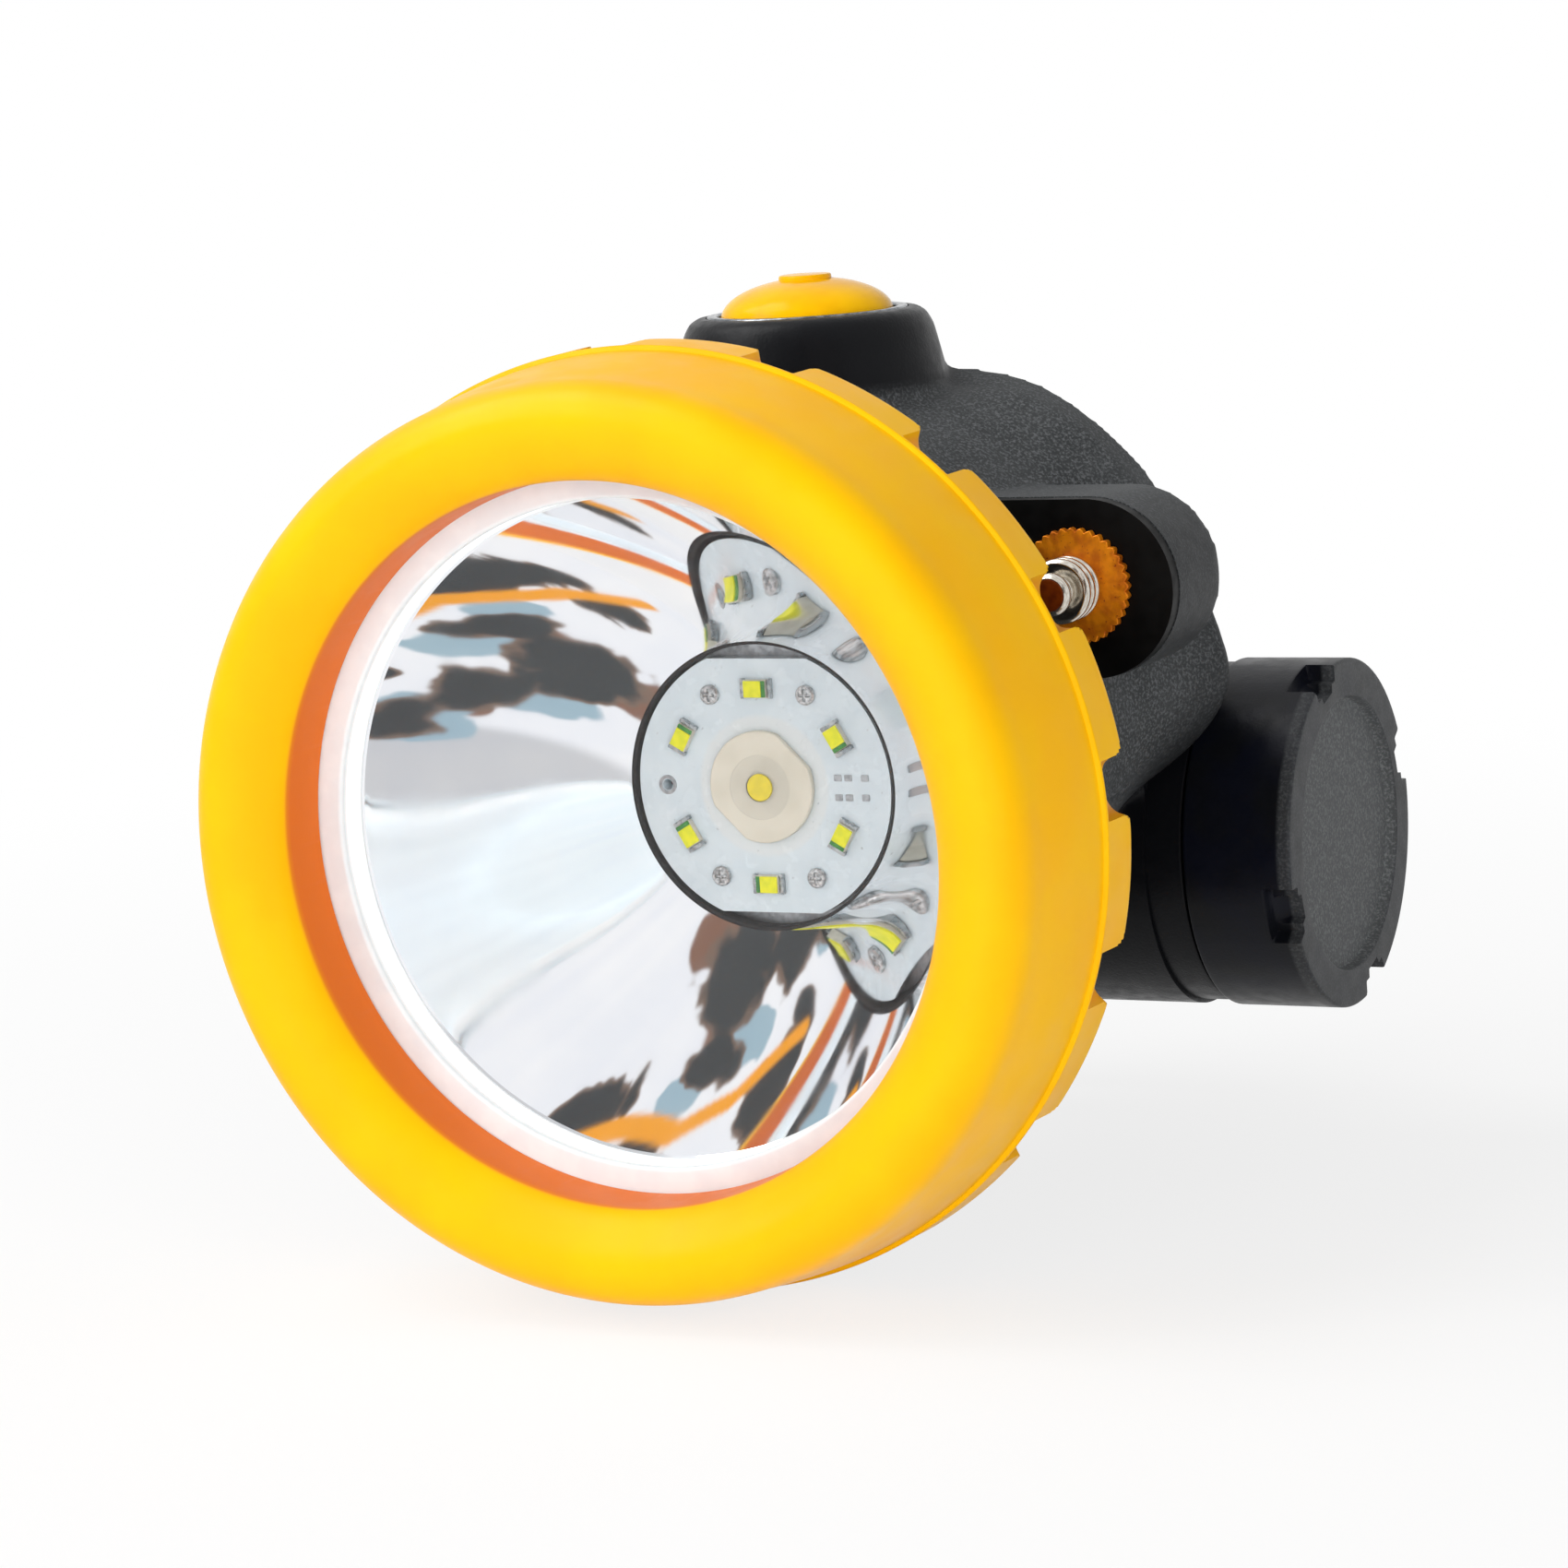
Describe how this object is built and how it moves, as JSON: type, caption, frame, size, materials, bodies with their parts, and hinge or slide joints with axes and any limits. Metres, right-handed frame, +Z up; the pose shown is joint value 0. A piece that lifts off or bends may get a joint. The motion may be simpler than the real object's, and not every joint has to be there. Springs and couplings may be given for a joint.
{
  "type": "miner's cap lamp",
  "caption": "Cordless miner's cap lamp: screwed yellow bezel over a reflector, black body with top button, crosswise battery tube with screw cap, and a helmet clip.",
  "frame": {"origin": "middle of the flat rear face of the helmet clip's tongue, where it bears on the helmet's bracket", "axes": "+Z up, +Y out of the back of the clip towards the helmet, so the beam leaves along -Y; +X towards the battery tube's screw cap"},
  "size_m": [0.076, 0.0839, 0.076],
  "materials": {
    "yellow_plastic": "moulded plastic, softly glossy",
    "black_plastic": "moulded plastic with a fine spark texture",
    "satin_black": "smooth satin plastic",
    "white_rubber": "smooth white silicone",
    "black_rubber": "matt rubber",
    "clear_lens": "clear polished",
    "reflector_chrome": "vacuum-metallised mirror",
    "white_board": "pale solder mask",
    "green_board": "green solder mask",
    "emitter_white": "off-white ceramic",
    "phosphor": "yellow phosphor",
    "nickel": "bright nickel plate",
    "brass": "brushed",
    "aluminium": "turned",
    "spring_steel": "drawn wire",
    "clip_steel": "pressed strip, satin",
    "cell_wrap": "plastic film over a metal can",
    "lead_cover": "insulated wire"
  },
  "bodies": {
    "housing": {"lamp_housing": "black_plastic", "bezel_seal": "black_rubber", "reflector": "reflector_chrome", "throat_ring": "black_rubber", "led_board": "white_board", "main_led_body": "emitter_white", "main_led_chip": "phosphor", "main_led_dome": "clear_lens", "side_led_1": "phosphor", "side_led_2": "phosphor", "side_led_3": "phosphor", "side_led_4": "phosphor", "side_led_5": "phosphor", "side_led_6": "phosphor", "board_screw_1": "nickel", "board_screw_2": "nickel", "board_screw_3": "nickel", "board_screw_4": "nickel", "heat_sink": "aluminium", "negative_lead": "lead_cover", "positive_lead": "lead_cover", "driver_board": "green_board", "driver_coil": "black_plastic", "driver_capacitor": "aluminium", "button_ring": "nickel", "button_spring": "spring_steel", "switch_board": "green_board", "tact_switch": "satin_black", "contact_pad": "satin_black", "charging_stud": "nickel", "stud_washer": "brass", "stud_bush": "white_rubber", "battery_spring": "spring_steel", "cap_seal": "black_rubber", "helmet_clip": "clip_steel", "clip_rivet_1": "nickel", "clip_rivet_2": "nickel"},
    "button": {"button_cap": "yellow_plastic"},
    "lens_carrier": {"front_lens": "clear_lens", "lens_seal": "white_rubber"},
    "bezel": {"bezel_ring": "yellow_plastic"},
    "cell": {"battery_cell": "cell_wrap"},
    "cap": {"battery_cap": "satin_black", "cap_contact": "brass"}
  },
  "joints": [
    {"name": "button_press", "type": "slide", "parent": "housing", "child": "button", "axis": [0, 0, -1], "range_m": [0, 0.0012], "stiffness_N_per_m": 300, "springref_m": -0.001, "deforming": ["button_spring"]},
    {"name": "lens_travel", "type": "slide", "parent": "housing", "child": "lens_carrier", "axis": [0, -1, 0], "range_m": [0, 0.004]},
    {"name": "bezel_turn", "type": "hinge", "parent": "lens_carrier", "child": "bezel", "pos_m": [0, -0.07129, 0.01312], "axis": [0, -1, 0], "range_deg": [0, 720]},
    {"name": "cell_travel", "type": "slide", "parent": "housing", "child": "cell", "axis": [1, 0, 0], "range_m": [0, 0.0045]},
    {"name": "cap_turn", "type": "hinge", "parent": "cell", "child": "cap", "pos_m": [0.033, -0.02396, 0.0045], "axis": [1, 0, 0], "range_deg": [0, 1080]}
  ],
  "couplings": [
    {"joint": "lens_travel", "follows": "bezel_turn", "m_per_rad": 0.0003183},
    {"joint": "cell_travel", "follows": "cap_turn", "m_per_rad": 0.00023873}
  ]
}
